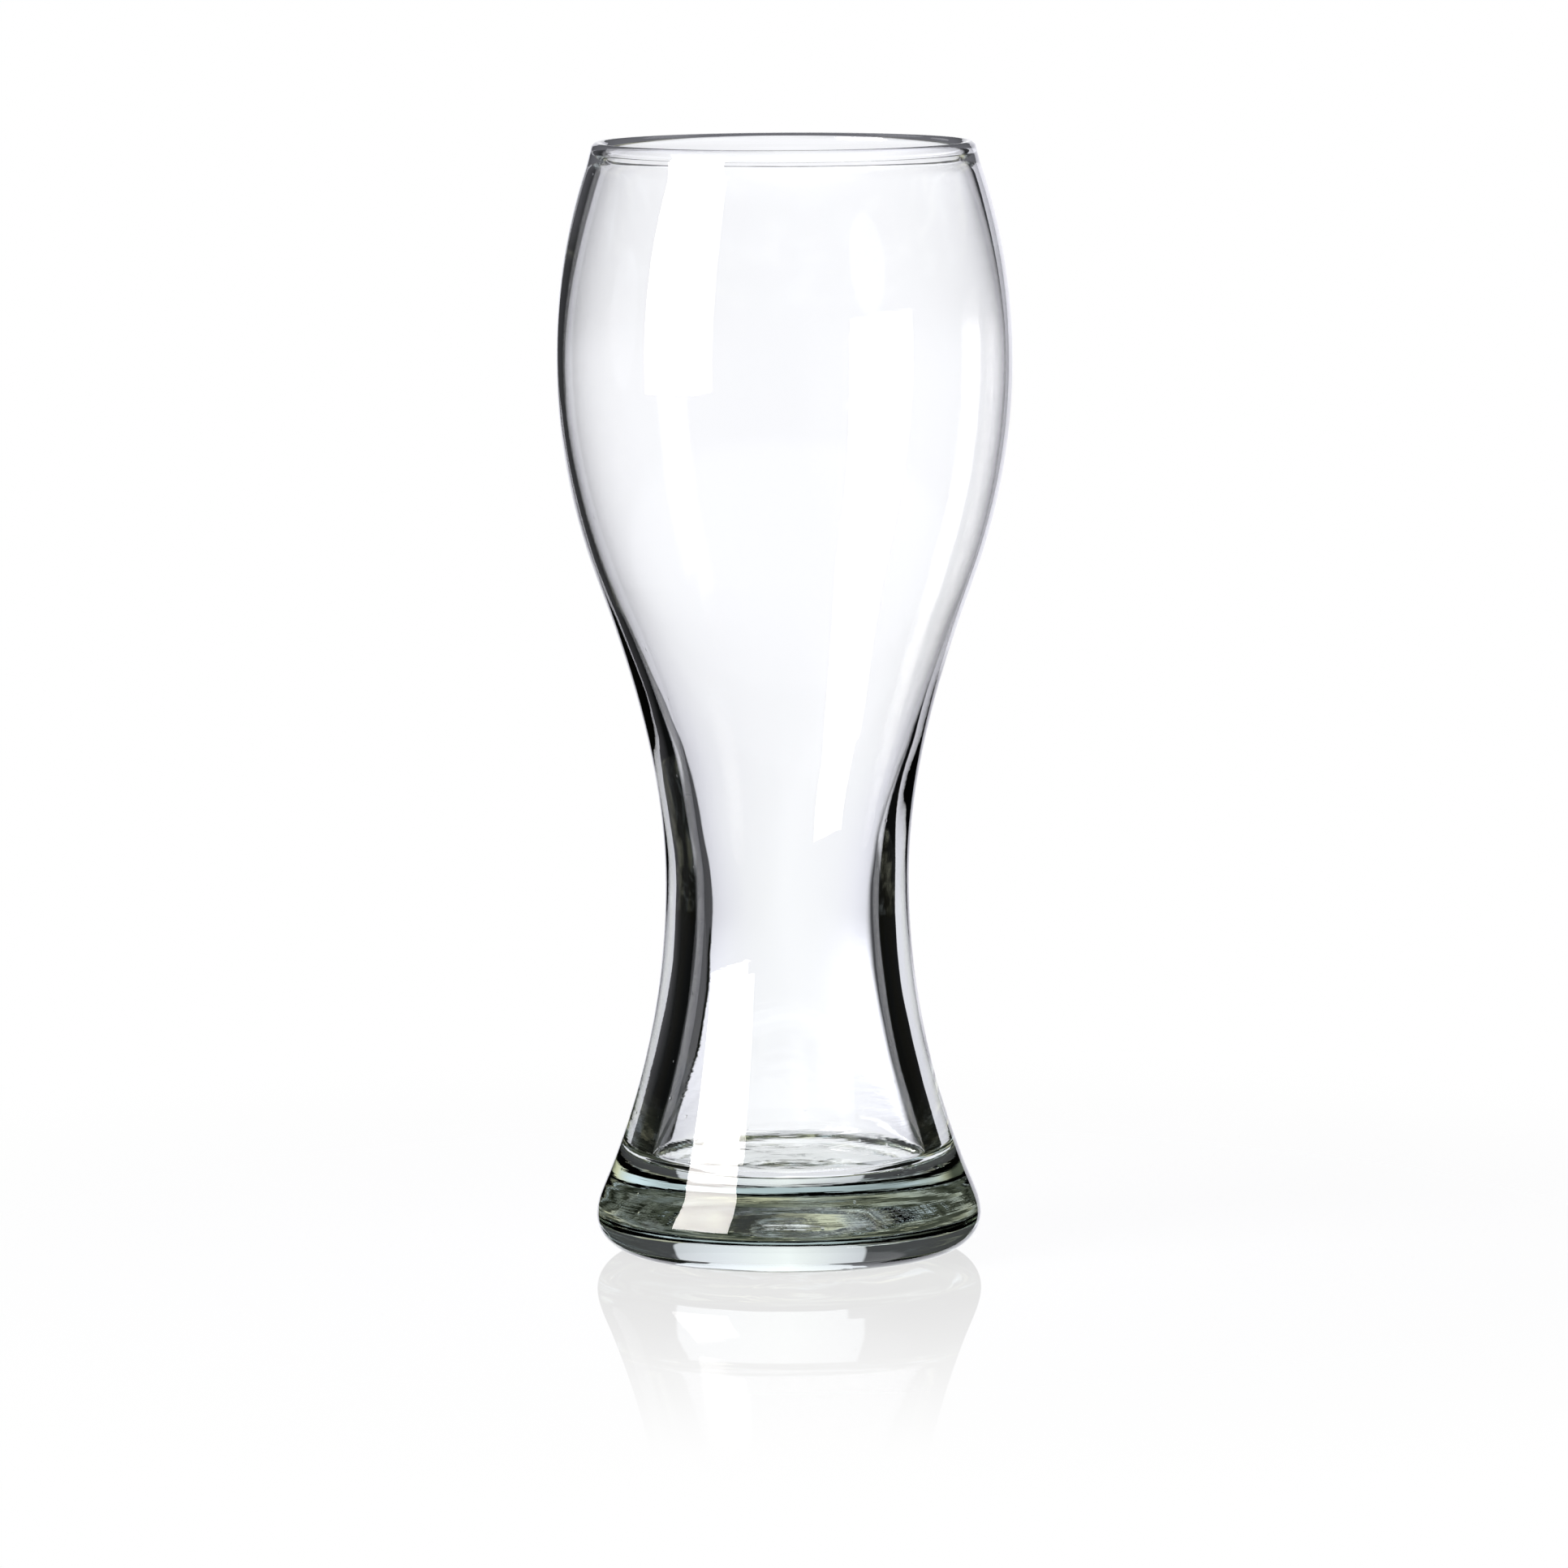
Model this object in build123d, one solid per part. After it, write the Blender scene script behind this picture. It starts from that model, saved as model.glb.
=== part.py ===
from build123d import *
import os
from math import cos, radians, sin, tan

# A tall wheat-beer glass, 224 mm high and about 0.70 l to the brim: one piece of clear
# soda-lime glass. It has a thin bowl that closes in a little at the mouth, a slim waist with
# a thick wall, and a flared, heavy foot. Millimetres, +Z up, origin at the middle of the
# face it stands on.

# --- Heights, each one a rise above the station below it --------------------------------
foot_rise = 7.6          # table to the widest place of the foot
flare_rise = 9.0         # widest place of the foot to the middle of its flare
waist_rise = 58.7        # middle of the flare to the outside's narrowest place
flank_rise = 60.7        # waist to the steepest place of the bowl's flank
belly_rise = 44.4        # flank to the widest place of the bowl
shoulder_rise = 39.4     # widest place of the bowl to the foot of the rim bead
bead_rise = 2.9          # foot of the rim bead to the bead's own middle

# --- Outside radii and how far the wall leans out from upright --------------------------
foot_radius = 38.8
flare_radius = 36.0
flare_lean = -21.7
waist_radius = 24.5
flank_radius = 37.7
flank_lean = 20.3        # the cavity's wall leans by the same angle here
belly_radius = 45.7
mouth_radius = 37.2      # to the middle of the rim bead
mouth_lean = -19.0

# --- Glass thicknesses, measured level ---------------------------------------------------
bead_thickness = 2.6     # the fire-polished rim is a little thicker than the wall under it
shoulder_wall = 2.1
belly_wall = 1.2
flank_wall = 1.4
waist_wall = 5.8
foot_wall = 8.4
floor_thickness = 17.1   # table to the cavity's floor, at the floor's edge

# --- The cavity's own shape --------------------------------------------------------------
cavity_waist_drop = 6.0  # the cavity is narrowest a little below the outside's waist
cavity_foot_lean = -16.3
floor_corner = 3.0       # height of the rounded corner between wall and floor
floor_corner_reach = 4.6 # width of that corner
floor_crown = 0.7        # how far the floor's middle stands above its edge

# --- The underside -----------------------------------------------------------------------
rest_radius = 29.5       # outer edge of the flat ring that the glass stands on
rest_width = 1.8
punt_depth = 2.3         # hollow under the foot, so that only the ring touches the table

# Share of a quarter ellipse's radius at which a cubic's handles stand to draw it.
QUARTER_HANDLE = 0.5523


def lean_curve(low, low_lean, high, high_lean):
    """A wall between two stations: the radius is a cubic of the height, with the lean
    from upright, in degrees, given at both ends."""
    third = (high[1] - low[1]) / 3
    low_handle = (low[0] + third * tan(radians(low_lean)), low[1] + third)
    high_handle = (high[0] - third * tan(radians(high_lean)), high[1] - third)
    return Bezier(low, low_handle, high_handle, high)


def quarter_round(upright_end, level_end):
    """A quarter ellipse, upright at one end and level at the other."""
    upright_handle = (
        upright_end[0],
        upright_end[1] + QUARTER_HANDLE * (level_end[1] - upright_end[1]),
    )
    level_handle = (
        level_end[0] + QUARTER_HANDLE * (upright_end[0] - level_end[0]),
        level_end[1],
    )
    return Bezier(upright_end, upright_handle, level_handle, level_end)


def shallow_dome(edge, middle_height):
    """An arc from an edge point to the axis, level where it crosses the axis."""
    mirrored_edge = (-edge[0], edge[1])
    whole = ThreePointArc(edge, (0, middle_height), mirrored_edge)
    return whole.trim(0, 0.5)


def stations():
    """Heights of the outline's stations, added up from the table."""
    foot = foot_rise
    flare = foot + flare_rise
    waist = flare + waist_rise
    flank = waist + flank_rise
    belly = flank + belly_rise
    shoulder = belly + shoulder_rise
    bead = shoulder + bead_rise
    return foot, flare, waist, flank, belly, shoulder, bead


def glass_outline():
    """Half section of the glass in the XZ plane, from the axis out and back to the axis."""
    foot_z, flare_z, waist_z, flank_z, belly_z, shoulder_z, bead_z = stations()

    # The rim bead: a half circle square to the wall that carries it.
    bead_radius = bead_thickness / 2
    across = (bead_radius * cos(radians(mouth_lean)), -bead_radius * sin(radians(mouth_lean)))
    bead_outside = (mouth_radius + across[0], bead_z + across[1])
    bead_inside = (mouth_radius - across[0], bead_z - across[1])
    bead_top = (mouth_radius - across[1], bead_z + across[0])

    # The wall under the bead follows the same lean down from the bead's middle.
    shoulder_middle = mouth_radius - bead_rise * tan(radians(mouth_lean))
    shoulder_outside = (shoulder_middle + shoulder_wall / 2, shoulder_z)
    shoulder_inside = (shoulder_middle - shoulder_wall / 2, shoulder_z)

    rest_edge = (rest_radius, 0)
    rest_inner = (rest_radius - rest_width, 0)
    foot = (foot_radius, foot_z)
    flare = (flare_radius, flare_z)
    waist = (waist_radius, waist_z)
    flank = (flank_radius, flank_z)
    belly = (belly_radius, belly_z)

    cavity_belly = (belly_radius - belly_wall, belly_z)
    cavity_flank = (flank_radius - flank_wall, flank_z)
    cavity_waist = (waist_radius - waist_wall, waist_z - cavity_waist_drop)
    cavity_foot = (flare_radius - foot_wall, floor_thickness + floor_corner)
    floor_edge = (cavity_foot[0] - floor_corner_reach, floor_thickness)
    floor_middle = (0, floor_thickness + floor_crown)
    punt_middle = (0, punt_depth)

    outside = [
        Line(rest_inner, rest_edge),
        quarter_round(foot, rest_edge),
        lean_curve(foot, 0, flare, flare_lean),
        lean_curve(flare, flare_lean, waist, 0),
        lean_curve(waist, 0, flank, flank_lean),
        lean_curve(flank, flank_lean, belly, 0),
        lean_curve(belly, 0, shoulder_outside, mouth_lean),
        lean_curve(shoulder_outside, mouth_lean, bead_outside, mouth_lean),
    ]
    rim = [ThreePointArc(bead_outside, bead_top, bead_inside)]
    cavity = [
        lean_curve(shoulder_inside, mouth_lean, bead_inside, mouth_lean),
        lean_curve(cavity_belly, 0, shoulder_inside, mouth_lean),
        lean_curve(cavity_flank, flank_lean, cavity_belly, 0),
        lean_curve(cavity_waist, 0, cavity_flank, flank_lean),
        lean_curve(cavity_foot, cavity_foot_lean, cavity_waist, 0),
        quarter_round(cavity_foot, floor_edge),
        shallow_dome(floor_edge, floor_middle[1]),
    ]
    middle = [
        Line(floor_middle, punt_middle),
        shallow_dome(rest_inner, punt_depth),
    ]
    return outside + rim + cavity + middle


def make_glass():
    """The outline turned once round the axis."""
    section = Plane.XZ * make_face(glass_outline())
    return revolve(section, Axis.Z, 360)


glass_body = make_glass()
os.makedirs("parts", exist_ok=True)
export_step(glass_body, "parts/glass_body.step")

box = glass_body.bounding_box()
print(f"height {box.max.Z:.1f} mm, widest {box.max.X - box.min.X:.1f} mm")
print(f"glass {glass_body.volume / 1000:.0f} ml")
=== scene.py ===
# %% [markdown]
# # A tall wheat-beer glass
# The whole object is one piece of clear glass: a thin bowl, a slim waist with a thick wall
# and a heavy foot. Glass shows nothing of its own, only what it bends and mirrors, so this
# lesson has two halves: a smooth closed wall with the small faults of real glass, and a
# studio whose bright and dark fields draw the wall's edges.

# %% Load the fixed frame
import bmesh
import bpy
from math import atan2, cos, exp, hypot, pi, radians, sin
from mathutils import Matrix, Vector, noise


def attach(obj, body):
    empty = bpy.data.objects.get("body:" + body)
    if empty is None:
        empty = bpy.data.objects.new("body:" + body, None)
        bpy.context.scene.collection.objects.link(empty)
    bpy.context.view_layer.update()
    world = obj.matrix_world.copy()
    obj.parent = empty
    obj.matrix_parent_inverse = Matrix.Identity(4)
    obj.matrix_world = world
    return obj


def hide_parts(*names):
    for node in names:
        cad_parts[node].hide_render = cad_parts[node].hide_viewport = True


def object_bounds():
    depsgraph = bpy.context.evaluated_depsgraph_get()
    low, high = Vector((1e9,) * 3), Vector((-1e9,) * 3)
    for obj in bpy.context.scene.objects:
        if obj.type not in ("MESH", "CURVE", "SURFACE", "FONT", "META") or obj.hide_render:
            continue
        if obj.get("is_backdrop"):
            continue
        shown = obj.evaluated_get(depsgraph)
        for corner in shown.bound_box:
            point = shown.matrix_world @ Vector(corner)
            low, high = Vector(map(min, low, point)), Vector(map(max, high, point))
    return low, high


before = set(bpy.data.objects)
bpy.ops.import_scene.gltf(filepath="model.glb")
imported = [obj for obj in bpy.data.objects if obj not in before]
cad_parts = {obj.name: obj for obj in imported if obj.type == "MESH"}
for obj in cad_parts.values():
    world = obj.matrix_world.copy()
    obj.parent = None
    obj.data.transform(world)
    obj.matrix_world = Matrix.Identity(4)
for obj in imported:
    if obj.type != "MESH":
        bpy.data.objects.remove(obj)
cad_low, cad_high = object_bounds()
cad_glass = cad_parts["glass_body"]
glass_height = cad_high.z
print(f"glass {glass_height * 1000:.1f} mm high, {(cad_high.x - cad_low.x) * 1000:.1f} mm wide")

# %% [markdown]
# ## A wrapper for shader sockets
# Finishes are easier to read as formulas than as node diagrams. `Shade` wraps a socket and
# adds a Math node for each operator. Every other node comes from `Graph.node`, which sets
# the node's own settings first and then its sockets.

# %% The socket wrapper
class Shade:
    """One output socket, so that an expression on it adds Math nodes."""

    def __init__(self, graph, socket):
        self.graph = graph
        self.socket = socket

    def math(self, operation, first, second=None):
        sockets = {0: first}
        if second is not None:
            sockets[1] = second
        return self.graph.node("ShaderNodeMath", {"operation": operation}, sockets)

    def __add__(self, other):
        return self.math("ADD", self, other)

    def __radd__(self, other):
        return self.math("ADD", other, self)

    def __sub__(self, other):
        return self.math("SUBTRACT", self, other)

    def __rsub__(self, other):
        return self.math("SUBTRACT", other, self)

    def __mul__(self, other):
        return self.math("MULTIPLY", self, other)

    def __rmul__(self, other):
        return self.math("MULTIPLY", other, self)

    def __truediv__(self, other):
        return self.math("DIVIDE", self, other)

    def __abs__(self):
        return self.math("ABSOLUTE", self)


class Graph:
    """A node tree that is filled from code."""

    def __init__(self, tree):
        self.tree = tree
        tree.nodes.clear()

    def node(self, kind, settings=None, sockets=None, output=0):
        """Adds a node, sets it, fills its sockets and returns one of its outputs."""
        made = self.tree.nodes.new(kind)
        for name, value in (settings or {}).items():
            setattr(made, name, value)
        for key, value in (sockets or {}).items():
            self.fill(made.inputs[key], value)
        return Shade(self, made.outputs[output]) if made.outputs else made

    def fill(self, socket, value):
        if isinstance(value, Shade):
            self.tree.links.new(value.socket, socket)
        else:
            socket.default_value = value

    def parts(self, vector):
        """The three components of a vector."""
        return [self.node("ShaderNodeSeparateXYZ", {}, {0: vector}, axis) for axis in "XYZ"]

    def step(self, value, low, high, at_low=0.0, at_high=1.0):
        """A soft step of a value between two limits."""
        settings = {"interpolation_type": "SMOOTHSTEP"}
        sockets = {0: value, 1: low, 2: high, 3: at_low, 4: at_high}
        return self.node("ShaderNodeMapRange", settings, sockets)

    def larger(self, first, second):
        return self.node("ShaderNodeMath", {"operation": "MAXIMUM"}, {0: first, 1: second})

    def blend(self, share, first, second):
        """A mix of two colours."""
        sockets = {0: share, 6: first, 7: second}
        return self.node("ShaderNodeMix", {"data_type": "RGBA"}, sockets, 2)

    def noise(self, place, scale, detail=2.0, roughness=0.5):
        sockets = {"Vector": place, "Scale": scale, "Detail": detail, "Roughness": roughness}
        return self.node("ShaderNodeTexNoise", {}, sockets)


# %% [markdown]
# ## The outline
# The CAD solid is a turned body, so all of its shape is in one half section. Cutting its
# mesh with the plane through the axis gives that outline at exactly the right size, with
# no numbers copied by hand. The cut is a chain of points, which is walked from the middle
# of the cavity's floor, up the inside, over the rim and down the outside to the middle of
# the underside.

# %% Cut the half outline out of the CAD mesh
WELD = 1e-6


def half_section(node):
    """The edges where the plane Y = 0 cuts a turned body, on the side of positive X."""
    section = bmesh.new()
    section.from_mesh(node.data)
    bmesh.ops.remove_doubles(section, verts=section.verts, dist=WELD)
    whole = section.verts[:] + section.edges[:] + section.faces[:]
    bmesh.ops.bisect_plane(section, geom=whole, dist=WELD, plane_co=(0, 0, 0),
                           plane_no=(0, 1, 0), clear_inner=True, clear_outer=True)
    whole = section.verts[:] + section.edges[:] + section.faces[:]
    bmesh.ops.bisect_plane(section, geom=whole, dist=WELD, plane_co=(0, 0, 0),
                           plane_no=(1, 0, 0), clear_inner=True)
    return section


def walk(section):
    """The points of the chain in order, from its higher end on the axis."""
    ends = [v for v in section.verts if len(v.link_edges) == 1]
    here = max(ends, key=lambda v: v.co.z)
    chain = [here.co.copy()]
    edge = here.link_edges[0]
    while edge:
        here = edge.other_vert(here)
        chain.append(here.co.copy())
        edge = next((e for e in here.link_edges if e is not edge), None)
    return chain


section_mesh = half_section(cad_glass)
outline = walk(section_mesh)
section_mesh.free()
print(f"outline of {len(outline)} points")

# %% [markdown]
# ## A finer outline
# The CAD mesh is made of short straight pieces. A thick wall of glass is a lens and would
# show each of them as a stripe, so a smooth curve goes through the same points. The new
# points stand close together in the foot, where the light takes its longest way, and
# further apart in the bowl. Real corners are kept as they are.

# %% Draw a smooth curve through the outline
CORNER = radians(25)
FINE_STEP = 0.0007
COARSE_STEP = 0.0022
FOOT_TOP = 0.026


def smooth_between(before, first, last, after, t):
    """Catmull-Rom curve between two neighbours of a chain."""
    left = (last - before) * (first - last).length / max((last - before).length, WELD)
    right = (after - first) * (first - last).length / max((after - first).length, WELD)
    a = 2 * t ** 3 - 3 * t ** 2 + 1
    b = t ** 3 - 2 * t ** 2 + t
    c = 3 * t ** 2 - 2 * t ** 3
    d = t ** 3 - t ** 2
    return first * a + left * b + last * c + right * d


def mirrored(point):
    return Vector((-point.x, point.y, point.z))


def turn_at(before, here, after):
    return (here - before).angle(after - here, 0.0)


def refine(chain):
    """The chain with smooth points between its own, close together in the foot."""
    padded = [mirrored(chain[1])] + chain + [mirrored(chain[-2])]
    fine = []
    for before, first, last, after in zip(padded, padded[1:], padded[2:], padded[3:]):
        if turn_at(before, first, last) > CORNER:
            before = first * 2 - last
        if turn_at(first, last, after) > CORNER:
            after = last * 2 - first
        low = min(first.z, last.z) < FOOT_TOP
        pieces = max(1, round((last - first).length / (FINE_STEP if low else COARSE_STEP)))
        for i in range(pieces):
            fine.append(smooth_between(before, first, last, after, i / pieces))
    fine.append(chain[-1])
    return fine


def thinned(chain):
    """The chain without points that crowd closer than the fine step allows."""
    kept = [chain[0]]
    for here, after in zip(chain[1:], chain[2:]):
        low = here.z < FOOT_TOP
        room = 0.45 * (FINE_STEP if low else COARSE_STEP)
        if (here - kept[-1]).length > room or turn_at(kept[-1], here, after) > CORNER:
            kept.append(here)
    kept.append(chain[-1])
    return kept


fine_outline = thinned(refine(outline))
print(f"fine outline of {len(fine_outline)} points")

# %% [markdown]
# ## Turning the wall
# One spin makes the closed wall, inside and out. Before it, every point of the outline
# gets a mark that says whether it lies in the cavity. The spin copies the mark to all the
# points it makes.

# %% Spin the outline
SPIN_STEPS = 256


def spun(chain):
    """A closed mesh turned from the chain, and its layer that marks the cavity."""
    mesh = bmesh.new()
    mark = mesh.verts.layers.float.new("cavity")
    crest = max(range(len(chain)), key=lambda i: chain[i].z)
    points = [mesh.verts.new((p.x, 0, p.z)) for p in chain]
    points[0].co.x = points[-1].co.x = 0
    for i, point in enumerate(points):
        point[mark] = 1.0 if i < crest else 0.0
    for first, last in zip(points, points[1:]):
        mesh.edges.new((first, last))
    bmesh.ops.spin(mesh, geom=mesh.verts[:] + mesh.edges[:], cent=(0, 0, 0),
                   axis=(0, 0, 1), angle=2 * pi, steps=SPIN_STEPS, use_merge=True)
    bmesh.ops.remove_doubles(mesh, verts=mesh.verts, dist=WELD)
    bmesh.ops.recalc_face_normals(mesh, faces=mesh.faces)
    return mesh, mark


glass_mesh, cavity_mark = spun(fine_outline)
print(f"wall of {len(glass_mesh.faces)} faces, {glass_mesh.calc_volume() * 1e6:.0f} ml of glass")

# %% [markdown]
# ## The faults of real glass
# A pressed and blown glass is never as true as its drawing. The plunger that opened the
# cavity stood a little to one side, so the wall is thinner on the right of the flank. The
# inner wall cooled free of any mould and waves slightly. The floor has the ring of the
# plunger's edge and a swirl where the last glass closed over. The underside was pushed up
# while it was soft, so it has shallow rings as well. All of these are tenths of a
# millimetre and less, but the light crosses the foot several times and each crossing
# makes them larger.

# %% Faults of the surface
MM = 0.001
CAVITY_SHIFT = 0.6 * MM
FLOOR_EDGE_RADIUS = 22.8 * MM
FLOOR_EDGE_WIDTH = 0.8 * MM
SWIRL_RADIUS = 7.6 * MM
SWIRL_WIDTH = 2.0 * MM
SWIRL_PITCH = 2.1 * MM
SWIRL_MIDDLE = 1.5 * MM


def ease(value, low, high):
    t = min(max((value - low) / (high - low), 0.0), 1.0)
    return t * t * (3 - 2 * t)


def ring_noise(place, around, along, seed):
    """Noise that changes slowly round the axis and faster along the outline."""
    turn = atan2(place.y, place.x)
    step = (place.z - hypot(place.x, place.y)) / along
    return noise.noise(Vector((cos(turn) * around + seed, sin(turn) * around, step)))


def cavity_offset(height):
    """How far the cavity's middle stands to the right, in metres."""
    in_flank = ease(height, 82 * MM, 104 * MM) * (1 - ease(height, 110 * MM, 178 * MM))
    return CAVITY_SHIFT * in_flank


def groove(radius, middle, width):
    return exp(-((radius - middle) / width) ** 2)


def floor_dent(place):
    """Height of the marks on the cavity's floor."""
    radius = hypot(place.x, place.y)
    swirl = Vector((place.x - SWIRL_MIDDLE, place.y, 0))
    turn = atan2(swirl.y, swirl.x)
    reach = swirl.length + 0.5 * MM * sin(turn * 2 + 0.6)
    spiral = sin((reach / SWIRL_PITCH) * 2 * pi + turn)
    spiral = spiral * groove(reach, SWIRL_RADIUS, SWIRL_WIDTH)
    edge = groove(radius, FLOOR_EDGE_RADIUS, FLOOR_EDGE_WIDTH)
    uneven = noise.noise(place * 180 + Vector((3, 7, 1)))
    return (0.035 * spiral - 0.10 * edge + 0.10 * uneven) * MM


def underside_dent(place):
    """Height of the rings under the foot."""
    rings = ring_noise(place, 0.8, 3.2 * MM, 11)
    fine = ring_noise(place, 1.4, 1.3 * MM, 17)
    return (0.10 * rings + 0.02 * fine) * MM


def wall_dent(place, is_cavity):
    """How far the wall stands out, outside or in the cavity."""
    if is_cavity:
        broad = noise.noise(Vector((place.x * 90, place.y * 90, place.z * 45 + 5)))
        small = noise.noise(Vector((place.x * 300, place.y * 300, place.z * 160)))
        depth = 1 - ease(place.z, 90 * MM, 140 * MM)
        return (0.02 + 0.06 * depth) * MM * broad + 0.012 * depth * MM * small
    low = 1 - ease(place.z, 22 * MM, 60 * MM)
    return 0.03 * MM * low * ring_noise(place, 1.2, 5.0 * MM, 23)


def fault(place, is_cavity):
    """The displacement of one point of the glass."""
    radius = hypot(place.x, place.y)
    out = Vector((place.x, place.y, 0)) / max(radius, WELD)
    if is_cavity:
        floor = 1 - ease(place.z, 18.5 * MM, 21 * MM)
        shift = Vector((cavity_offset(place.z), 0, floor_dent(place) * floor))
        return shift + out * wall_dent(place, True) * (1 - floor)
    under = 1 - ease(radius, 25.5 * MM, 27.5 * MM) if place.z < 3 * MM else 0.0
    if under:
        return Vector((0, 0, underside_dent(place) * under))
    return out * wall_dent(place, False) * ease(place.z, 1 * MM, 5 * MM)


def add_faults(mesh, mark):
    """Moves every point by its fault and returns the largest move."""
    largest_move = 0.0
    for point in mesh.verts:
        move = fault(point.co.copy(), point[mark] > 0.5)
        point.co += move
        largest_move = max(largest_move, move.length)
    return largest_move


print(f"largest fault {add_faults(glass_mesh, cavity_mark) / MM:.2f} mm")

# %% [markdown]
# ## The piece
# The finished mesh stands in for the CAD's one node and rides on the root. It is shaded
# smooth all over: its corners are rounded by real faces.

# %% Make the glass piece
glass_data = bpy.data.meshes.new("glass_body")
glass_mesh.to_mesh(glass_data)
glass_mesh.free()
glass_data.shade_smooth()
glass = bpy.data.objects.new("clear_glass_wall", glass_data)
bpy.context.scene.collection.objects.link(glass)
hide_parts("glass_body")
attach(glass, "root")
print(f"glass piece of {len(glass_data.polygons)} faces")

# %% [markdown]
# ## Clear glass
# Soda-lime glass bends light by 1.52 and takes a little red and blue out of it, which shows
# green only where the light has come a long way through the foot. The surface is polished,
# so it has no roughness; what it has are fine ripples round the axis from the turning
# mould, and a few seeds, which are tiny bubbles just under the skin.
#
# Inside the foot the light is mirrored many times before it finds a way out. A renderer
# gives such a ray up after a few mirrorings and paints it black. In the foot the finish
# paints light in its place: a ray that was already mirrored two or three times sees a
# painted dim glow with streaks and warm or cool glints, an emission that stands in for the
# last glimpse of the studio that real glass would show. The rim bead catches light in the
# same way and sends it down the wall, so there the finish paints a plain grey glow.

# %% The glass finish
GLASS_IOR = 1.52
GLASS_TINT = (0.66, 0.9, 0.75, 1)
TINT_DENSITY = 4.0
RIPPLE_PITCH = 1.6 * MM
RIPPLE_DEPTH = 0.02 * MM
SEED_CELLS = 300.0
SEED_DEPTH = 0.05 * MM
GLOW_STREAK_PITCH = 3.4 * MM
LOW_IN_FOOT = (19 * MM, 22 * MM)
TOP_OF_FOOT = (24 * MM, 30 * MM)
UNDER_RIM = (200 * MM, 210 * MM)
# Colours of the painted glow, an emission that stands in for light and shade in the foot and at
# the rim.
DARKEST_PAINTED_GLOW = (0.008, 0.010, 0.006, 1)
OLIVE_PAINTED_GLOW = (0.13, 0.145, 0.11, 1)
WARM_PAINTED_GLINT = (0.95, 0.93, 0.66, 1)
COOL_PAINTED_GLINT = (0.78, 0.9, 1.0, 1)
RIM_PAINTED_GLOW = (0.16, 0.16, 0.18, 1)


def round_axis(graph, x, y, z, radius, turns, pitch):
    """A place for noise that is drawn out round the axis, with bands of one pitch."""
    safe = radius + 0.0001
    return graph.node("ShaderNodeCombineXYZ", {}, {
        0: x / safe * turns,
        1: y / safe * turns,
        2: (z - radius) / pitch,
    })


def painted_foot_and_rim_glow(graph, place, streaks, rim):
    """Painted light for rays that were mirrored often: an emitted dim glow with streaks
    and glints in the foot, and a plain grey glow at the rim.
    """
    # Painted glints over a painted dim glow, drawn out into streaks round the axis.
    light = graph.step(graph.noise(streaks, 1.0, 3.0, 0.55), 0.5, 0.72)
    painted_dusk = graph.step(graph.noise(streaks, 0.7, 2.0), 0.38, 0.66)
    painted_dusk = graph.blend(painted_dusk, DARKEST_PAINTED_GLOW, OLIVE_PAINTED_GLOW)
    tint = graph.step(graph.noise(place, 90.0, 1.0), 0.42, 0.58)
    painted_glint = graph.blend(tint, WARM_PAINTED_GLINT, COOL_PAINTED_GLINT)
    colour = graph.blend(rim, graph.blend(light, painted_dusk, painted_glint), RIM_PAINTED_GLOW)
    return graph.node("ShaderNodeEmission", {}, {"Color": colour, "Strength": 1.0})


def mirrored_often(graph, z, rim):
    """One for rays after their third mirroring in the foot or at the rim, or after their
    second low down in the foot."""
    mirrors = graph.node("ShaderNodeLightPath", {}, {}, "Glossy Depth")
    mirrors = mirrors + graph.step(z, *LOW_IN_FOOT, 1.0, 0.0)
    zone = graph.larger(graph.step(z, *TOP_OF_FOOT, 1.0, 0.0), rim)
    return graph.step(mirrors, 2.4, 2.6) * zone


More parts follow.
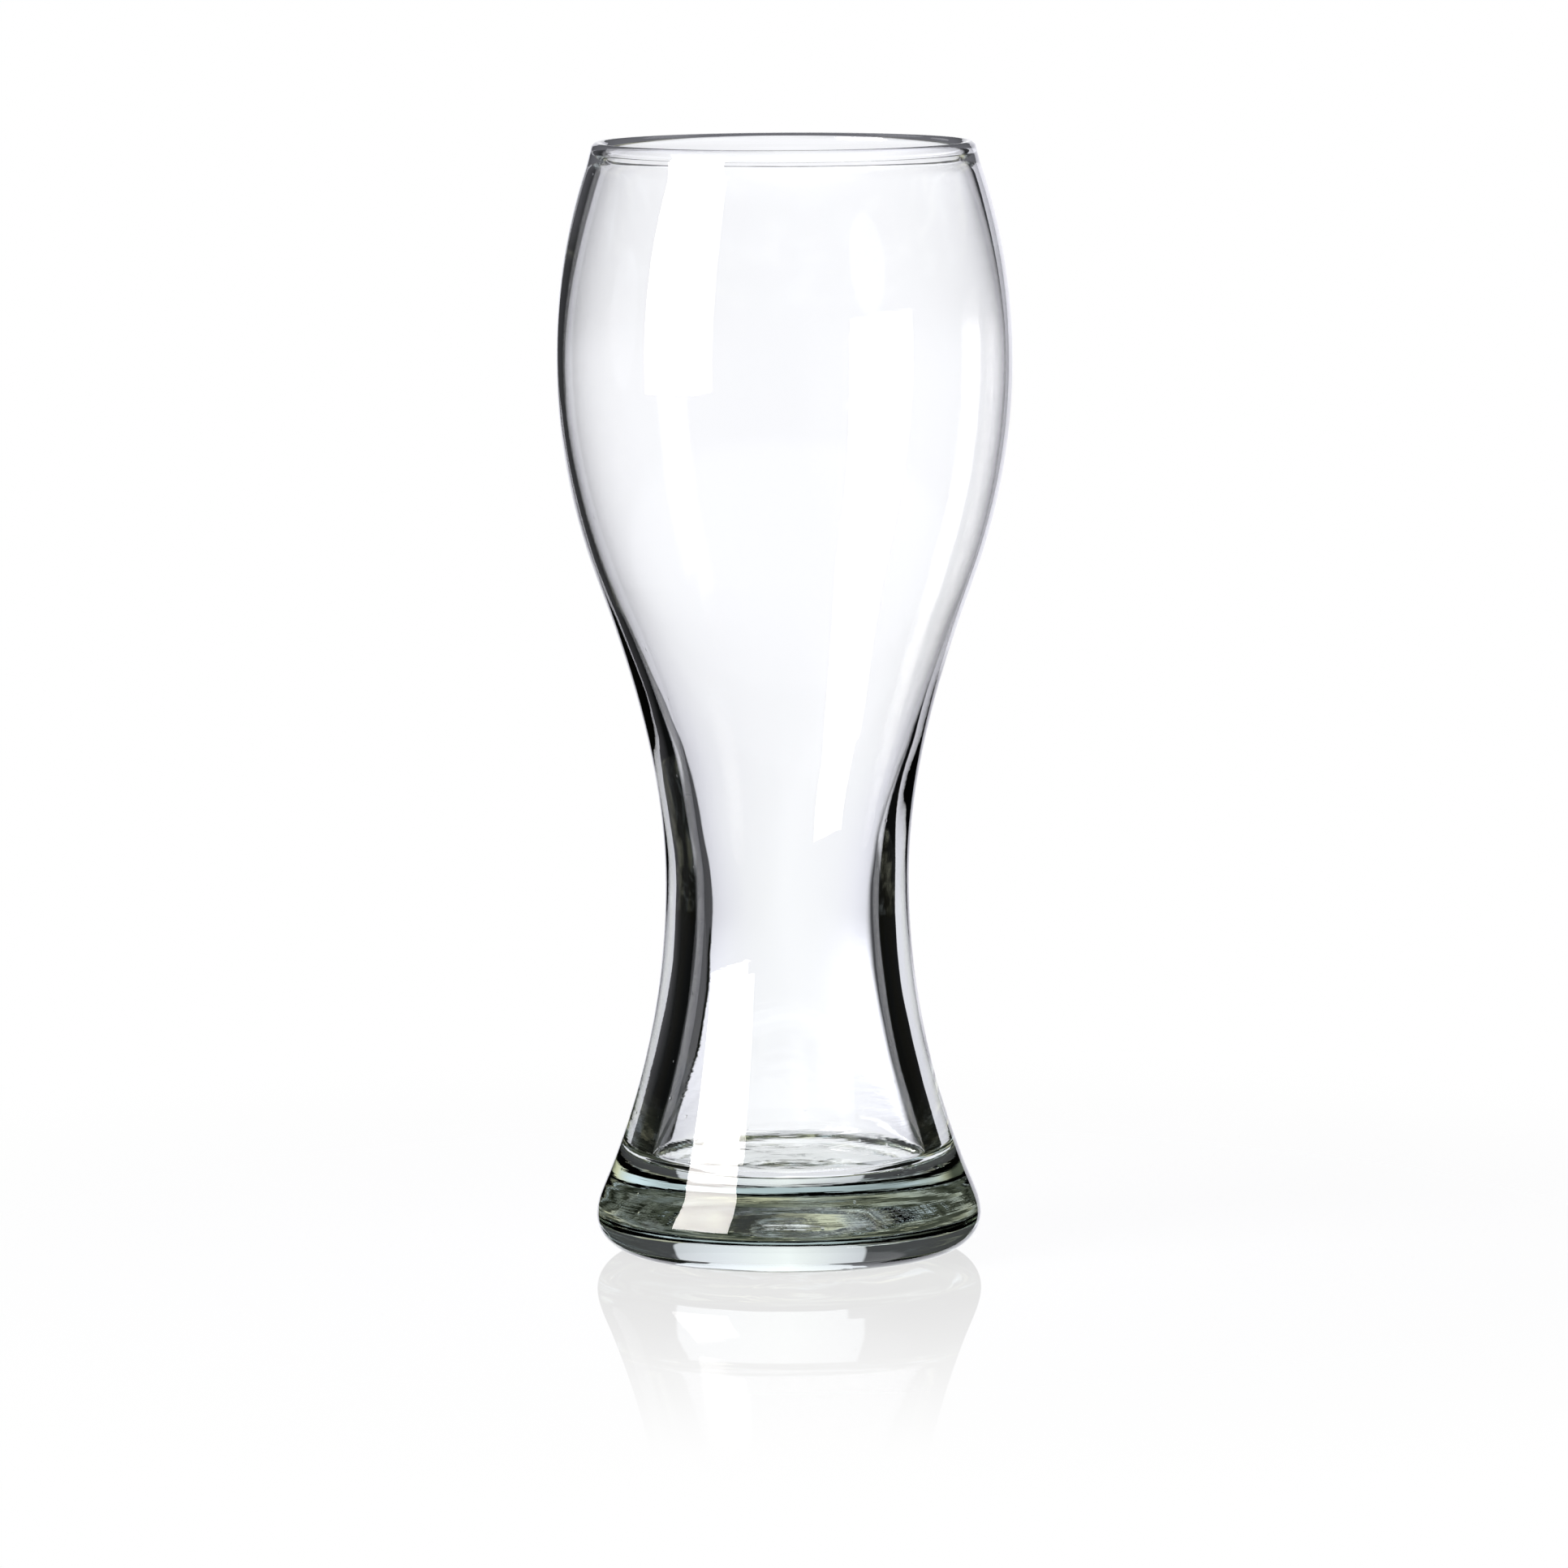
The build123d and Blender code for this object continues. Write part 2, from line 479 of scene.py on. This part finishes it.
def clear_glass():
    finish = bpy.data.materials.new("soda_lime_glass_with_painted_glow")
    finish.use_nodes = True
    graph = Graph(finish.node_tree)
    place = graph.node("ShaderNodeTexCoord", {}, {}, "Object")
    x, y, z = graph.parts(place)
    radius = graph.node("ShaderNodeMath", {"operation": "SQRT"}, {0: x * x + y * y})
    rings = round_axis(graph, x, y, z, radius, 1.1, RIPPLE_PITCH)
    foot = graph.step(z, 20 * MM, 45 * MM, 1.0, 0.15)
    ripple = graph.noise(rings, 1.0, 3.0, 0.6) * foot * RIPPLE_DEPTH
    cells = {"Vector": place, "Scale": SEED_CELLS}
    from_middle = graph.node("ShaderNodeTexVoronoi", {}, cells)
    cell_colour = graph.node("ShaderNodeTexVoronoi", {}, cells, "Color")
    pick = graph.step(graph.parts(cell_colour)[0], 0.86, 0.9)
    seed = graph.step(from_middle, 0.04, 0.12, 1.0, 0.0) * pick * foot * SEED_DEPTH
    bump = graph.node("ShaderNodeBump", {}, {
        "Strength": 1.0, "Distance": 1.0, "Height": ripple + seed}, "Normal")
    surface = graph.node("ShaderNodeBsdfPrincipled", {}, {
        "Base Color": (1, 1, 1, 1),
        "Roughness": 0.0,
        "IOR": GLASS_IOR,
        "Transmission Weight": 1.0,
        "Normal": bump,
    })
    # The rim zone, where the finish paints a plain grey glow in place of the glass.
    rim = graph.step(z, *UNDER_RIM)
    streaks = round_axis(graph, x, y, z, radius, 1.3, GLOW_STREAK_PITCH)
    # Painted light: emitted streaks and glints in the foot and a grey glow at the rim.
    glow = painted_foot_and_rim_glow(graph, place, streaks, rim)
    often = mirrored_often(graph, z, rim)
    # Rays that were mirrored often see the painted glow instead of the glass.
    surface = graph.node("ShaderNodeMixShader", {}, {0: often, 1: surface, 2: glow})
    absorb = graph.node("ShaderNodeVolumeAbsorption", {}, {
        "Color": GLASS_TINT,
        "Density": TINT_DENSITY,
    })
    graph.node("ShaderNodeOutputMaterial", {}, {"Surface": surface, "Volume": absorb})
    return finish


glass_data.materials.append(clear_glass())
finish_nodes = glass_data.materials[0].node_tree.nodes
print(f"finish of {len(finish_nodes)} nodes")

# %% [markdown]
# ## The studio
# A glass is drawn by what stands round it. Behind it is a bright backdrop that is not much
# wider than the glass, so that only the light that goes nearly straight through is bright.
# Where the wall bends the light further it shows the dark room, and those places are the
# dark lines that draw the glass. The backdrop ends a little above the horizon, which keeps
# the foot dark.
#
# The world is a formula of the direction. `turn` is the angle to the right of +Y and `z` is
# the sine of the height above the horizon. The helpers below cut fields out of it. Angles
# are written in degrees, and `deg` turns them into what the nodes count in.

# %% Fields of the world
deg = radians


def between(graph, value, low, high, soft):
    """One between two angles in degrees, nothing outside them."""
    rise = graph.step(value, deg(low - soft), deg(low + soft))
    fall = graph.step(value, deg(high - soft), deg(high + soft), 1.0, 0.0)
    return rise * fall


def heights(graph, z, low, high, soft):
    """One between two heights above the horizon, in degrees."""
    rise = graph.step(z, sin(deg(low - soft)), sin(deg(low + soft)))
    fall = graph.step(z, sin(deg(high - soft)), sin(deg(high + soft)), 1.0, 0.0)
    return rise * fall


def spot(graph, way, turn, height, reach):
    """A round field about one direction."""
    middle = (sin(deg(turn)) * cos(deg(height)), cos(deg(turn)) * cos(deg(height)),
              sin(deg(height)))
    nearness = graph.node("ShaderNodeVectorMath", {"operation": "DOT_PRODUCT"},
                          {0: way, 1: middle}, "Value")
    return graph.step(nearness, cos(deg(reach + 1)), cos(deg(reach)))


def largest(graph, *values):
    """The brightest of several fields."""
    total = values[0]
    for value in values[1:]:
        total = graph.larger(total, value)
    return total


def limited(graph, value, low, high):
    return graph.node("ShaderNodeClamp", {}, {0: value, 1: low, 2: high})


print(f"heights are cut at their sine, which is {sin(deg(10)):.3f} at 10 degrees")

# %% [markdown]
# ## What has happened to a ray
# The depths of the light path tell how a ray came. It gains one step of transmission at
# every surface it goes through and one glossy step at every mirroring, so four crossings
# and no mirroring is a clear look through both walls, and two crossings and one mirroring
# is light that was thrown back inside the thick wall. A bent ray is any other that has been
# in the glass. When it was never mirrored it went through one wall only, as at the mouth and
# the heel. The studio is told apart by that: a ray that was never mirrored also finds a
# backdrop on the other sides, so that the glass is as clear from there, and a mirrored one
# finds the dark room or, from the foot, the clutter.

# %% The ray
CLEAR_CROSSINGS = 4


class Ray:
    """The direction of a ray that leaves the glass, and what has happened to it so far."""

    def __init__(self, graph):
        self.graph = graph
        self.way = graph.node("ShaderNodeTexCoord", {}, {}, "Generated")
        self.x, self.y, self.z = graph.parts(self.way)
        self.turn = graph.node("ShaderNodeMath", {"operation": "ARCTAN2"}, {0: self.x, 1: self.y})
        self.away = abs(self.turn) * (180 / pi)
        flat = self.x * self.x + self.y * self.y
        self.level = graph.node("ShaderNodeMath", {"operation": "SQRT"}, {0: flat})
        crossings = self.path("Transmission Depth")
        mirrorings = self.path("Glossy Depth")
        self.mirrored = self.at_least(mirrorings, 1)
        self.mirrored_twice = self.at_least(mirrorings, 2)
        self.both_walls = self.at_least(crossings, CLEAR_CROSSINGS)
        self.inside = self.at_least(crossings, 1)
        self.clear = self.both_walls * (1 - self.mirrored)
        self.bent = self.inside - self.clear
        self.one_wall = self.bent * (1 - self.mirrored)

    def path(self, output):
        return self.graph.node("ShaderNodeLightPath", {}, {}, output)

    def at_least(self, count, least):
        """One when a whole number has come to the least one asked for."""
        return self.graph.step(count, least - 0.6, least - 0.4)

    def above(self, height, soft):
        """One above a height in degrees, nothing below it."""
        return self.graph.step(self.z, sin(deg(height - soft)), sin(deg(height + soft)))


print(f"a ray is clear after {CLEAR_CROSSINGS} crossings without a mirroring")

# %% [markdown]
# ## The backdrop
# The sheet behind the glass is brightest in the middle and falls off to its ends, faster on
# the left. Rays that were never mirrored see it up to a high top, and the mirrored ones,
# which draw the foot, only a little above the horizon. Through the bowl its left end comes
# nearer. Below the horizon the sheet is lifted at the sides, so that the wall stays bright
# up to its dark edge line.
# All ends are in degrees, all levels are shares of white and the falls are per degree.

# %% The backdrop
BACKDROP_LEFT = -16.5
BOWL_LEFT = -12.5
BACKDROP_RIGHT = 22.2
BENT_RIGHT = 27.0
UNMIRRORED_TOP = 45.0
MIRRORED_TOP = 11.8
MIDDLE_LEVEL = 1.145
FALL_LEFT = 0.019
FALL_RIGHT = 0.010
LIFT_PER_DEGREE = 0.035
MOST_LIFT = 0.3
RIGHT_LIFT = 0.45
SECOND_MIRRORING_KEEPS = 0.03


def backdrop(graph, ray):
    """The bright sheet behind the glass. Its ends differ a little with the path taken."""
    narrower = ray.above(-6.0, 1.0) * (1 - ray.one_wall)
    left = narrower * deg(BOWL_LEFT - BACKDROP_LEFT) + deg(BACKDROP_LEFT)
    right = ray.bent * deg(BENT_RIGHT - BACKDROP_RIGHT) + deg(BACKDROP_RIGHT)
    soft = ray.clear * deg(3.4) + deg(0.6)
    across = graph.step(ray.turn, left - deg(0.6), left + deg(0.6))
    across = across * graph.step(ray.turn, right - soft, right + soft, 1.0, 0.0)
    top = sin(deg(UNMIRRORED_TOP))
    top = ray.mirrored * (sin(deg(MIRRORED_TOP)) - top) + top
    upright = graph.step(ray.z, top - 0.009, top + 0.009, 1.0, 0.0)
    on_right = graph.step(ray.turn, deg(-1), deg(1))
    fall = FALL_LEFT - on_right * (FALL_LEFT - FALL_RIGHT)
    level = on_right * 0.02 + MIDDLE_LEVEL - ray.away * fall
    bowl = ray.above(-7.0, 3.0) * ray.clear
    lift = limited(graph, ray.away * LIFT_PER_DEGREE, 0.0, MOST_LIFT)
    lift = lift * (1 - ray.above(-2.5, 1.8))
    right_lift = graph.step(ray.turn, deg(2), deg(11), 0.0, RIGHT_LIFT)
    lift = lift + right_lift * (1 - ray.above(0.0, 2.0))
    heel = ray.one_wall * (ray.away * 0.004 + 0.12)
    keeps = 1 - ray.mirrored_twice * (1 - SECOND_MIRRORING_KEEPS)
    return across * upright * (level + lift * bowl - heel) * keeps


print(f"backdrop {BACKDROP_RIGHT - BACKDROP_LEFT:.1f} degrees wide")

# %% [markdown]
# ## The other sides, the clutter and the room
# The glass has to look clear from every side, so rays that were never mirrored find a sheet
# at the other three sides and the corners too. The rays that come out of the foot find
# clutter at the top and the bottom: noise that is drawn out into bands, because in a studio
# most edges are level. Everything else is a dark room, a little greyer next to the
# backdrop.

# %% The rest of the studio
SIDES_LEVEL = 1.05
SIDES_TOP = 11.5
CORNERS_TOP = -18.0
BACK_CORNERS_TOP = 3.0
CLUTTER_FROM = 12.5
CLUTTER_BELOW = -17
TABLE_EDGE = (14.8, 18.0)
TABLE_EDGE_LEVEL = 0.4
ROOM_LEVEL = 0.005
CLEAR_ROOM_LEVEL = 0.09


def other_sides(graph, ray):
    """Backdrops on the other sides, for the rays that were never mirrored."""
    near_axis = graph.larger(abs(ray.x), abs(ray.y)) / ray.level
    sides = graph.step(near_axis, cos(deg(20)), cos(deg(18))) * graph.step(ray.away, 44, 46)
    sides = sides * (1 - ray.above(SIDES_TOP, 1.5)) * (1 - ray.one_wall * ray.above(0.0, 1.0))
    near_corner = (abs(ray.x) + abs(ray.y)) / ray.level * (0.5 ** 0.5)
    corners = graph.step(near_corner, cos(deg(21)), cos(deg(17)), 0.3, 1.0)
    behind = graph.step(ray.away, 85, 95) * (1 - ray.above(BACK_CORNERS_TOP, 1.5))
    corners = corners * graph.larger(behind, 1 - ray.above(CORNERS_TOP, 1.7))
    return largest(graph, sides, corners) * (ray.clear + ray.one_wall) * SIDES_LEVEL


def drawn_out(graph, ray, level, upright):
    """A place for noise with its own scale level and upright."""
    return graph.node("ShaderNodeCombineXYZ", {}, {
        0: ray.x * level, 1: ray.y * level, 2: ray.z * upright})


def clutter(graph, ray):
    """Lamps, tables and windows of the studio, which the foot mixes into streaks."""
    things = graph.noise(drawn_out(graph, ray, 3.2, 10.0), 1.0, 3.0, 0.6)
    things = graph.step(things, 0.45, 0.72, 0.02, 0.8)
    streaks = graph.noise(drawn_out(graph, ray, 2.5, 26.0), 1.0, 2.0)
    streaks = graph.step(streaks, 0.5, 0.78, 0.0, 0.8)
    table_edge = heights(graph, ray.z, *TABLE_EDGE, 0.6) * between(graph, ray.turn, -32, 2, 2)
    high = ray.above(CLUTTER_FROM, 1.5)
    low = (1 - ray.above(CLUTTER_BELOW, 2)) * ray.mirrored_twice
    in_foot = ray.bent * (1 - ray.both_walls)
    brightest = largest(graph, things, streaks, table_edge * TABLE_EDGE_LEVEL)
    return brightest * (high + low) * in_foot


def dim_room(graph, ray):
    """What is left where nothing stands: dark, and greyer next to the backdrop."""
    near = limited(graph, 0.15 - ray.away * 0.0045, 0.003, 0.1)
    near = near * graph.step(ray.turn, deg(-2), deg(2), 1.0, 0.45)
    plain = ray.one_wall * (0.3 - ray.above(-12.0, 4.0) * 0.23)
    gap = 18.5 - ray.above(-6.0, 1.0) * 3.5
    seen = largest(graph, 1 - ray.above(-8.2, 0.5), graph.step(ray.away, gap - 0.7, gap + 0.7),
                   ray.turn)
    return largest(graph, near * ray.bent, plain, ray.clear * seen * CLEAR_ROOM_LEVEL, ROOM_LEVEL)


print(f"sides at {SIDES_LEVEL:.2f} of white, room at {ROOM_LEVEL:.3f}")

# %% [markdown]
# ## The world
# The world takes the brightest of all fields for each ray. A camera ray sees plain white.
# The hue is neutral in the middle, lavender at the sides and olive or blue in the clutter,
# and the strength is capped, so that no field can burn out.

# %% The world
TABLE_TOP = -34
TABLE_LEVEL = 0.8
FAR_DOWN_TOP = -52
FAR_DOWN_LEVEL = 0.85
OVERHEAD = (40, 58)
OVERHEAD_LEVEL = 0.8
THROWN_UP = (14, 41)
THROWN_UP_LEVEL = 0.4
PATCHES = [(-45, 25, 1.0), (135, 15, 1.0), (-90, 3, 0.5)]
PATCH_REACH = 9
STRONGEST = 1.9
NEUTRAL = (0.985, 0.99, 1.02, 1)
LAVENDER = (1.0, 1.0, 1.09, 1)
OLIVE = (1.0, 1.0, 0.78, 1)
BLUE = (0.9, 0.98, 1.02, 1)
WHITE = (1, 1, 1, 1)


def build_world():
    world = bpy.data.worlds.new("studio")
    bpy.context.scene.world = world
    world.use_nodes = True
    graph = Graph(world.node_tree)
    ray = Ray(graph)

    # The table, seen steeply from above, a soft light overhead, and what the rounded corner
    # of the cavity's floor throws up.
    table = (1 - ray.above(TABLE_TOP, 2)) * ray.both_walls * TABLE_LEVEL
    far_down = (1 - ray.above(FAR_DOWN_TOP, 2)) * FAR_DOWN_LEVEL
    overhead = heights(graph, ray.z, *OVERHEAD, 1.5) * OVERHEAD_LEVEL
    thrown_up = heights(graph, ray.z, *THROWN_UP, 2) * THROWN_UP_LEVEL
    thrown_up = thrown_up * ray.both_walls * ray.mirrored

    # Patches that the polished floor mirrors when the glass is seen from its other sides.
    patches = [spot(graph, ray.way, turn, height, PATCH_REACH) * level
               for turn, height, level in PATCHES]
    patches = largest(graph, *patches) * (1 - ray.inside)

    things = clutter(graph, ray)
    bright = largest(graph, backdrop(graph, ray), other_sides(graph, ray), table, far_down,
                     overhead, thrown_up, dim_room(graph, ray), patches)
    total = graph.larger(bright, things)

    lavender = graph.step(ray.away, 1.0, 16.0) * graph.step(ray.away, 30.0, 45.0, 1.0, 0.4)
    hue = graph.blend(lavender, NEUTRAL, LAVENDER)
    tint = graph.step(graph.noise(ray.way, 3.0, 1.0), 0.42, 0.6)
    mixed = graph.blend(tint, OLIVE, BLUE)
    hue = graph.blend(graph.step(things - bright, -0.05, 0.0), hue, mixed)
    camera_ray = ray.path("Is Camera Ray")
    hue = graph.blend(camera_ray, hue, WHITE)
    strength = graph.larger(total, camera_ray)
    strength = graph.node("ShaderNodeMath", {"operation": "MINIMUM"},
                          {0: strength, 1: STRONGEST - camera_ray * (STRONGEST - 1)})
    glow = graph.node("ShaderNodeBackground", {}, {"Color": hue, "Strength": strength})
    graph.node("ShaderNodeOutputWorld", {}, {"Surface": glow})
    return world


print(f"world of {len(build_world().node_tree.nodes)} nodes")

# %% [markdown]
# ## The softbox
# A tall lamp at the left of the camera makes the long bright reflection that runs down the
# bowl, the waist and the foot. Its size and place are read back from that reflection: the
# bowl mirrors it small and upright. It is slightly warm.

# %% The softbox
WARM_WHITE = (1.0, 0.955, 0.925)


def softbox(name, azimuth, distance, width, low, high, radiance):
    """An upright area lamp that faces the axis, azimuth counted from -Y towards -X."""
    lamp = bpy.data.lights.new(name, "AREA")
    lamp.shape = "RECTANGLE"
    lamp.size = width
    lamp.size_y = high - low
    lamp.energy = radiance * width * (high - low) * pi
    lamp.color = WARM_WHITE
    piece = bpy.data.objects.new(name, lamp)
    bpy.context.scene.collection.objects.link(piece)
    way = Vector((-sin(deg(azimuth)), -cos(deg(azimuth)), 0))
    piece.location = way * distance + Vector((0, 0, (low + high) / 2))
    piece.rotation_mode = "QUATERNION"
    piece.rotation_quaternion = way.to_track_quat("Z", "Y")
    return piece


left_softbox = softbox("left_softbox", azimuth=54.5, distance=0.71, width=0.47, low=0.088,
                       high=0.75, radiance=16)
print(f"softbox {left_softbox.data.size:.2f} m wide, {left_softbox.data.size_y:.2f} m high")

# %% [markdown]
# ## The floor
# The floor is pure white far from the glass. Near the glass a small share of it is matt and
# takes the lamp's light, which keeps the soft shadow, and a small share is polished and
# mirrors the glass faintly. The glass itself doesn't see the floor, because the world has a
# table of its own for the rays that go down.

# %% The floor
FLOOR_RADIUS = 3.0
MATT_SHARE = 0.08
POLISHED_SHARE = 0.2


def white_floor():
    floor_mesh = bmesh.new()
    bmesh.ops.create_circle(floor_mesh, cap_ends=True, segments=96, radius=FLOOR_RADIUS)
    data = bpy.data.meshes.new("floor")
    floor_mesh.to_mesh(data)
    floor_mesh.free()
    floor = bpy.data.objects.new("floor", data)
    bpy.context.scene.collection.objects.link(floor)
    floor.visible_transmission = False
    floor.visible_glossy = False
    finish = bpy.data.materials.new("white_floor")
    finish.use_nodes = True
    graph = Graph(finish.node_tree)
    place = graph.node("ShaderNodeTexCoord", {}, {}, "Object")
    reach = graph.node("ShaderNodeVectorMath", {"operation": "LENGTH"}, {0: place}, "Value")
    matt = graph.node("ShaderNodeBsdfDiffuse", {}, {"Color": (0.5, 0.5, 0.5, 1)})
    glow = graph.node("ShaderNodeEmission", {}, {"Color": WHITE, "Strength": 1.0})
    polished = graph.node("ShaderNodeBsdfGlossy", {}, {"Color": WHITE, "Roughness": 0.0})
    shade = graph.step(reach, 0.05, 0.3, MATT_SHARE, 0.0)
    ground = graph.node("ShaderNodeMixShader", {}, {0: shade, 1: glow, 2: matt})
    shine = graph.step(reach, 0.03, 0.25, POLISHED_SHARE, 0.0)
    both = graph.node("ShaderNodeMixShader", {}, {0: shine, 1: ground, 2: polished})
    graph.node("ShaderNodeOutputMaterial", {}, {"Surface": both})
    data.materials.append(finish)
    floor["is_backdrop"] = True
    return floor


print(f"floor {white_floor().dimensions.x:.1f} m across")

# %% [markdown]
# ## The camera
# The ellipses of the rim and the foot give the angle: the photo was taken from about nine
# glass heights away and a little above the rim, so the camera looks down by 6.4 degrees. The
# photo leans by 0.3 degrees and stands a hair off its middle.

# %% The camera
LENS_MM = 232.3
FRAME_SHIFT = 0.002
DISTANCE_IN_GLASSES = 9.034
HEIGHT_IN_GLASSES = 1.4297
LOOKS_DOWN = 6.36
LEANS = 0.3


def camera():
    data = bpy.data.cameras.new("camera")
    data.sensor_width = 36
    data.lens = LENS_MM
    data.shift_x = FRAME_SHIFT
    data.clip_start = 0.05
    data.clip_end = 50
    piece = bpy.data.objects.new("camera", data)
    bpy.context.scene.collection.objects.link(piece)
    piece.location = (0, -DISTANCE_IN_GLASSES * glass_height, HEIGHT_IN_GLASSES * glass_height)
    piece.rotation_euler = (deg(90 - LOOKS_DOWN), deg(LEANS), 0)
    bpy.context.scene.camera = piece
    return piece


print(f"camera {camera().location.length:.2f} m from the foot")
bpy.context.scene.view_settings.view_transform = "Standard"

# %% [markdown]
# ## Sizes
# The box of what is seen is compared with the box of the solid, which shows how far the
# faults have made the glass larger.

# %% Sizes, and the end
new_low, new_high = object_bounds()
grown = max((new_high - cad_high).length, (new_low - cad_low).length)
print(f"the visible box differs from the solid's by {grown / MM:.2f} mm")
